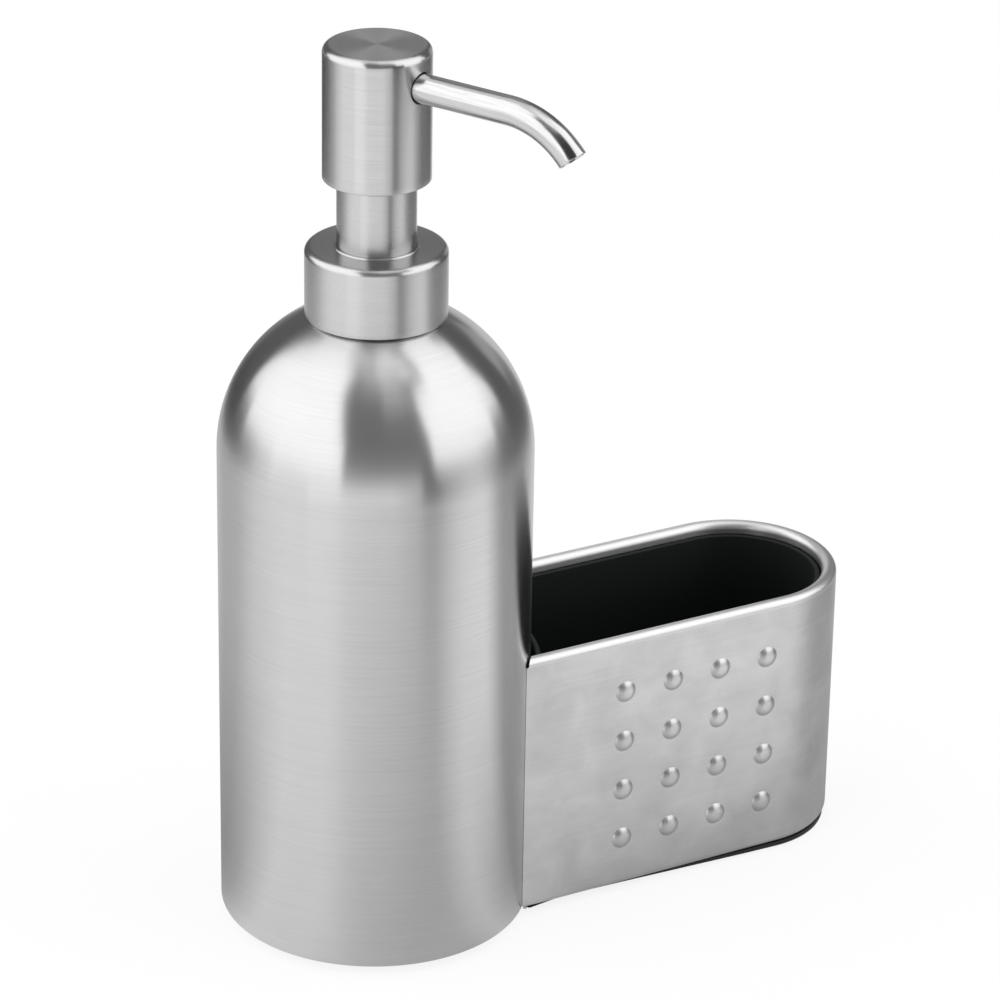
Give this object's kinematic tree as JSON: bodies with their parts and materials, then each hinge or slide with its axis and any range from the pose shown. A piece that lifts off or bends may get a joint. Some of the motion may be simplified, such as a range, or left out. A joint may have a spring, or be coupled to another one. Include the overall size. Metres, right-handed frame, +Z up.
{
  "type": "soap pump caddy",
  "caption": "Domed pump bottle with a bent swivelling spout, joined to an open sponge caddy with a lift-out liner.",
  "frame": {"origin": "centre of the bottle's flat foot, on the surface that the object stands on", "axes": "+Z up along the bottle and the pump; +X from the bottle towards the round end of the caddy; the spout at rest points towards -Y and a little +X"},
  "size_m": [0.1625, 0.0876, 0.219],
  "materials": {
    "bottle_steel": "satin steel brushed round the bottle",
    "caddy_steel": "satin steel brushed along the wall, rim polished",
    "collar_steel": "satin steel brushed round the collar",
    "sleeve_steel": "satin steel, finely brushed",
    "head_steel": "satin steel, brushed in circles on the top",
    "spout_steel": "polished steel tube",
    "inner_steel": "plain pressed steel",
    "foot_rubber": "matte black",
    "base_plastic": "fine matte black",
    "liner_plastic": "fine matte black",
    "closure_plastic": "moulded black",
    "gasket_foam": "closed-cell foam",
    "pump_plastic": "moulded white",
    "cap_plastic": "moulded white",
    "seal_plastic": "soft milky plastic",
    "tube_plastic": "milky plastic tube",
    "spring_steel": "bright drawn wire"
  },
  "bodies": {
    "bottle": {"bottle_shell": "bottle_steel", "bottle_base": "inner_steel", "foot_pad": "foot_rubber", "neck_ring": "inner_steel", "caddy_shell": "caddy_steel", "caddy_base": "base_plastic"},
    "liner": {"liner": "liner_plastic"},
    "gasket": {"neck_gasket": "gasket_foam"},
    "pump": {"pump_housing": "pump_plastic", "housing_cap": "cap_plastic", "dip_tube": "tube_plastic", "return_spring": "spring_steel"},
    "ball": {"inlet_ball": "spring_steel"},
    "collar": {"closure": "closure_plastic", "collar_shell": "collar_steel", "stem_sleeve": "sleeve_steel"},
    "piston": {"piston_seal": "seal_plastic"},
    "head": {"pump_stem": "pump_plastic", "head_core": "closure_plastic", "head_shell": "head_steel", "spout_tube": "spout_steel"}
  },
  "joints": [
    {"name": "liner_lift", "type": "slide", "parent": "bottle", "child": "liner", "axis": [0, 0, 1], "range_m": [0, 0.11]},
    {"name": "pump_lift_out", "type": "slide", "parent": "bottle", "child": "gasket", "axis": [0, 0, 1], "range_m": [0, 0.165]},
    {"name": "pump_rise", "type": "slide", "parent": "gasket", "child": "pump", "axis": [0, 0, 1], "range_m": [0, 0.0064]},
    {"name": "collar_turn", "type": "hinge", "parent": "pump", "child": "collar", "pos_m": [0, 0, 0.162], "axis": [0, 0, 1], "range_deg": [0, 540]},
    {"name": "inlet_ball_lift", "type": "slide", "parent": "pump", "child": "ball", "axis": [0, 0, 1], "range_m": [0, 0.0016]},
    {"name": "head_press", "type": "slide", "parent": "pump", "child": "piston", "axis": [0, 0, -1], "range_m": [0, 0.014], "stiffness_N_per_m": 900, "springref_m": -0.009, "deforming": ["return_spring"]},
    {"name": "spout_swivel", "type": "hinge", "parent": "piston", "child": "head", "pos_m": [0, 0, 0.2], "axis": [0, 0, 1], "continuous": true}
  ],
  "couplings": [
    {"joint": "collar_turn", "follows": "pump_rise", "rad_per_m": 1472.6}
  ]
}
